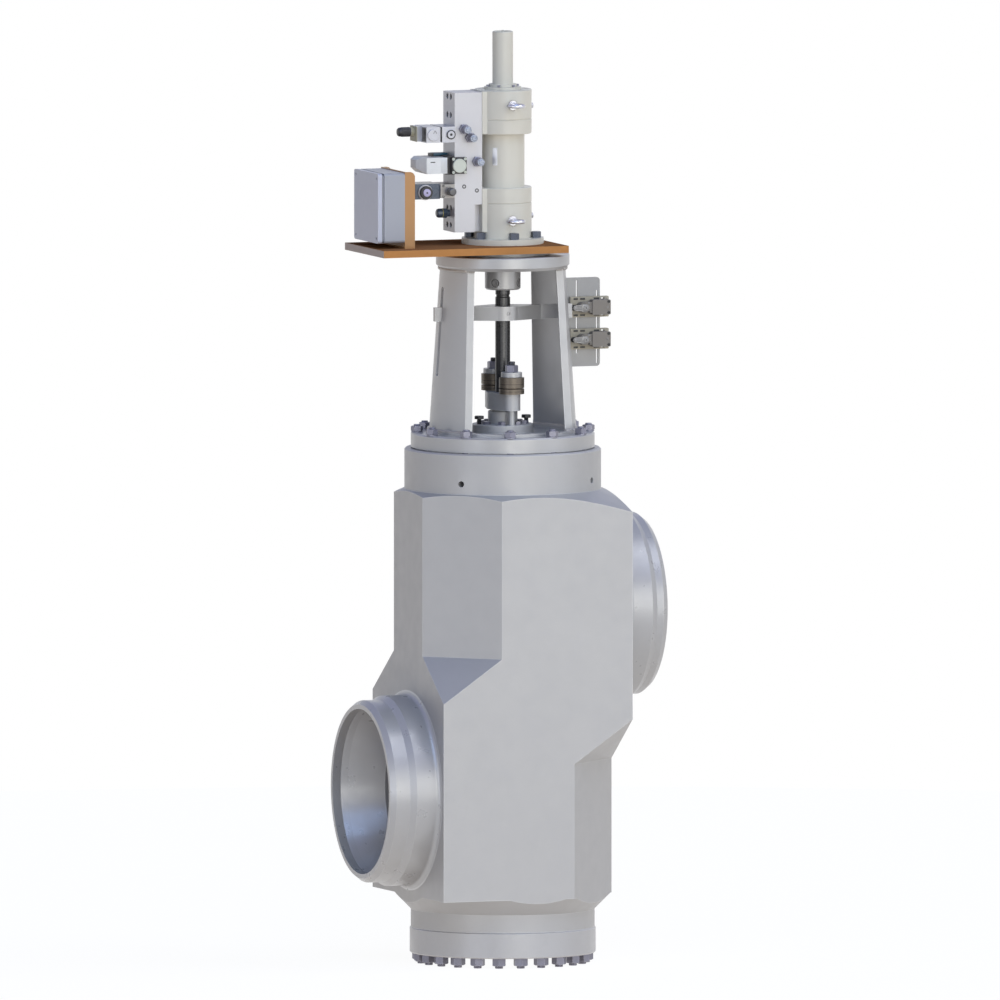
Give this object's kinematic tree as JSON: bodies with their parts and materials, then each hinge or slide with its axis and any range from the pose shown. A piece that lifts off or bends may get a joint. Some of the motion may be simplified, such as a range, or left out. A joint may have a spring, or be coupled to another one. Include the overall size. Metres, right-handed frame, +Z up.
{
  "type": "control valve",
  "caption": "Large butt-weld control valve with offset inlet and outlet, a forged block body, a yoke with travel switches and a hydraulic cylinder with manifold and junction box.",
  "frame": {"origin": "on the stem axis, level with the tips of the bottom studs", "axes": "+Z up along the stem; the inlet faces -X, the outlet +X; knobs and test couplings face -Y"},
  "size_m": [0.8265, 0.582, 2.6177],
  "materials": {
    "forged_steel": "satin, fine shot-blasted",
    "machined_steel": "turned or milled, satin",
    "bolting": "bluish zinc, satin",
    "dark_steel": "dark satin",
    "cream_paint": "satin paint",
    "copper_plate": "semi-gloss coating",
    "manifold_aluminium": "fine milled",
    "graphite": "matte graphite",
    "spring_bronze": "bronzed, satin",
    "switch_housing": "matte",
    "box_enamel": "satin enamel",
    "valve_grey": "satin",
    "valve_white": "satin",
    "valve_blue": "satin",
    "knob_black": "satin"
  },
  "bodies": {
    "valve": {"body_forging": "forged_steel", "inlet_nozzle": "forged_steel", "outlet_nozzle": "forged_steel", "bottom_cover": "forged_steel", "gaskets_and_packing": "graphite", "bottom_bolting": "bolting", "seat_ring": "machined_steel", "cage": "machined_steel", "bonnet": "machined_steel", "pressure_seal_ring": "machined_steel", "spacer_ring": "machined_steel", "segment_ring": "machined_steel", "yoke_base": "machined_steel", "yoke_bolts": "bolting", "yoke_leg_left": "machined_steel", "yoke_leg_right": "machined_steel", "yoke_head": "machined_steel", "packing_box": "forged_steel", "packing_box_screws": "bolting", "gland_follower": "machined_steel", "gland_flange": "forged_steel", "gland_bolting": "bolting", "disc_springs": "spring_bronze", "spring_washers": "machined_steel", "switch_plate": "machined_steel", "limit_switches": "switch_housing", "actuator_plate": "copper_plate", "box_bracket": "copper_plate", "junction_box": "box_enamel", "box_lid": "box_enamel", "lid_screws": "bolting", "cylinder_screws": "bolting", "lower_head": "cream_paint", "barrel": "cream_paint", "upper_head": "cream_paint", "sensor_flange": "cream_paint", "sensor_housing": "cream_paint", "sensor_rod": "machined_steel", "manifold_block": "manifold_aluminium", "manifold_fittings": "bolting", "lifting_eyes": "machined_steel", "solenoid_valve": "valve_grey", "solenoid_cap": "knob_black", "servo_valve": "valve_white", "servo_base": "knob_black", "servo_cover": "valve_grey", "flow_subplate": "valve_grey", "flow_valve": "valve_blue"},
    "stem_train": {"piston": "machined_steel", "piston_rod": "machined_steel", "seal_rings": "graphite", "rod_coupling": "machined_steel", "coupling_screws": "dark_steel", "stem": "dark_steel", "plug": "machined_steel", "travel_bar": "machined_steel"},
    "lever_upper": {"lever_upper": "machined_steel"},
    "lever_lower": {"lever_lower": "machined_steel"},
    "flow_knob": {"flow_knob": "knob_black"},
    "relief_knob": {"relief_knob": "knob_black"}
  },
  "joints": [
    {"name": "stem_travel", "type": "slide", "parent": "valve", "child": "stem_train", "axis": [0, 0, 1], "range_m": [-0.09, 0]},
    {"name": "upper_lever", "type": "hinge", "parent": "valve", "child": "lever_upper", "pos_m": [0.242, 0, 1.831], "axis": [0, 1, 0], "range_deg": [0, 25], "stiffness_Nm_per_rad": 0.5, "springref_deg": -17.19},
    {"name": "lower_lever", "type": "hinge", "parent": "valve", "child": "lever_lower", "pos_m": [0.242, 0, 1.741], "axis": [0, 1, 0], "range_deg": [0, 25], "stiffness_Nm_per_rad": 0.5, "springref_deg": -17.19},
    {"name": "flow_setting", "type": "hinge", "parent": "valve", "child": "flow_knob", "pos_m": [-0.246, -0.04, 2.1713], "axis": [0, -1, 0], "range_deg": [-150, 150]},
    {"name": "relief_setting", "type": "hinge", "parent": "valve", "child": "relief_knob", "pos_m": [-0.177, -0.047, 2.1733], "axis": [0, -1, 0], "range_deg": [-360, 360]}
  ]
}
